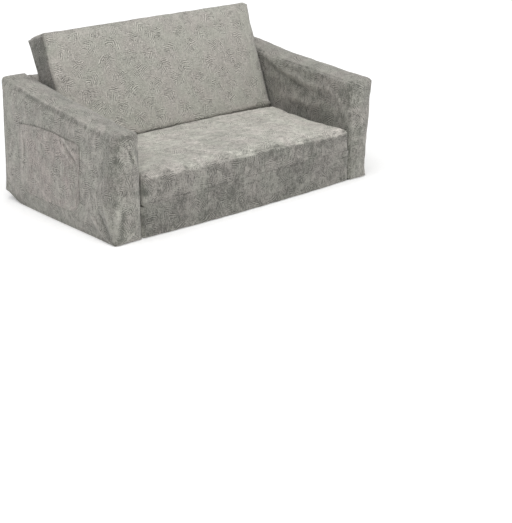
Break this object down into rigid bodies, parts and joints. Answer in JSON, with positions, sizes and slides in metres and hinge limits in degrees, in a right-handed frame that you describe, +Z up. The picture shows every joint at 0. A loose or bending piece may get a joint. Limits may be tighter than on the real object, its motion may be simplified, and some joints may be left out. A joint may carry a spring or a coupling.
{
  "type": "kids flip open sofa",
  "caption": "Low plush covered foam sofa for children; seat and backrest flip forward together into a flat lounger, with a patch pocket on the left arm.",
  "frame": {"origin": "centre of the closed sofa's footprint, on the floor", "axes": "+X along the width, to the right as seen from the front; the sofa faces -Y; +Z up"},
  "size_m": [0.9298, 0.547, 0.4648],
  "materials": {
    "plush": "short pile plush, embossed all over",
    "pocket_cloth": "short pile plush, embossed all over",
    "foam": "open cell foam",
    "grip_cloth": "matt cloth with grip dots",
    "seam_thread": "sewn fold",
    "zip_tape": "woven tape",
    "zip_metal": "satin"
  },
  "bodies": {
    "base": {"left_arm_cover": "plush", "left_arm_underside": "grip_cloth", "left_arm_foam": "foam", "right_arm_cover": "plush", "right_arm_underside": "grip_cloth", "right_arm_foam": "foam", "back_panel_cover": "plush", "back_panel_underside": "grip_cloth", "back_panel_foam": "foam", "base_pad_cover": "plush", "base_pad_underside": "grip_cloth", "base_pad_foam": "foam", "back_lining": "plush", "side_pocket": "pocket_cloth", "pocket_hem": "pocket_cloth", "left_arm_zip_tape": "zip_tape", "left_arm_zip_teeth": "zip_tape", "right_arm_zip_tape": "zip_tape", "right_arm_zip_teeth": "zip_tape", "back_zip_tape": "zip_tape", "back_zip_teeth": "zip_tape"},
    "seat_pad": {"seat_pad_cover": "plush", "seat_pad_sleeping_side": "plush", "seat_pad_foam": "foam", "seat_fold_seam": "seam_thread"},
    "backrest_pad": {"backrest_pad_cover": "plush", "backrest_pad_sleeping_side": "plush", "backrest_pad_foam": "foam", "backrest_fold_seam": "seam_thread"},
    "left_arm_slider": {"left_arm_zip_slider": "zip_metal"},
    "left_arm_pull": {"left_arm_zip_pull": "zip_metal"},
    "right_arm_slider": {"right_arm_zip_slider": "zip_metal"},
    "right_arm_pull": {"right_arm_zip_pull": "zip_metal"},
    "back_slider": {"back_zip_slider": "zip_metal"},
    "back_pull": {"back_zip_pull": "zip_metal"}
  },
  "joints": [
    {"name": "seat_flip", "type": "hinge", "parent": "base", "child": "seat_pad", "pos_m": [0.0049, -0.2725, 0.08625], "axis": [1, 0, 0], "range_deg": [0, 180]},
    {"name": "backrest_unfold", "type": "hinge", "parent": "seat_pad", "child": "backrest_pad", "pos_m": [0.0049, 0.11869, 0.0872], "axis": [-1, 0, 0], "range_deg": [0, 71]},
    {"name": "left_arm_zip_slide", "type": "slide", "parent": "base", "child": "left_arm_slider", "axis": [0, 0, 1], "range_m": [0, 0.225]},
    {"name": "left_arm_pull_swing", "type": "hinge", "parent": "left_arm_slider", "child": "left_arm_pull", "pos_m": [-0.4131, 0.2717, 0.045], "axis": [1, 0, 0], "range_deg": [0, 170]},
    {"name": "right_arm_zip_slide", "type": "slide", "parent": "base", "child": "right_arm_slider", "axis": [0, 0, 1], "range_m": [0, 0.225]},
    {"name": "right_arm_pull_swing", "type": "hinge", "parent": "right_arm_slider", "child": "right_arm_pull", "pos_m": [0.4229, 0.2717, 0.045], "axis": [1, 0, 0], "range_deg": [0, 170]},
    {"name": "back_zip_slide", "type": "slide", "parent": "base", "child": "back_slider", "axis": [1, 0, 0], "range_m": [0, 0.6]},
    {"name": "back_pull_swing", "type": "hinge", "parent": "back_slider", "child": "back_pull", "pos_m": [-0.3051, 0.2717, 0.042], "axis": [0, 0, -1], "range_deg": [0, 170]}
  ],
  "couplings": [
    {"joint": "backrest_unfold", "follows": "seat_flip", "ratio": 0.3944}
  ]
}
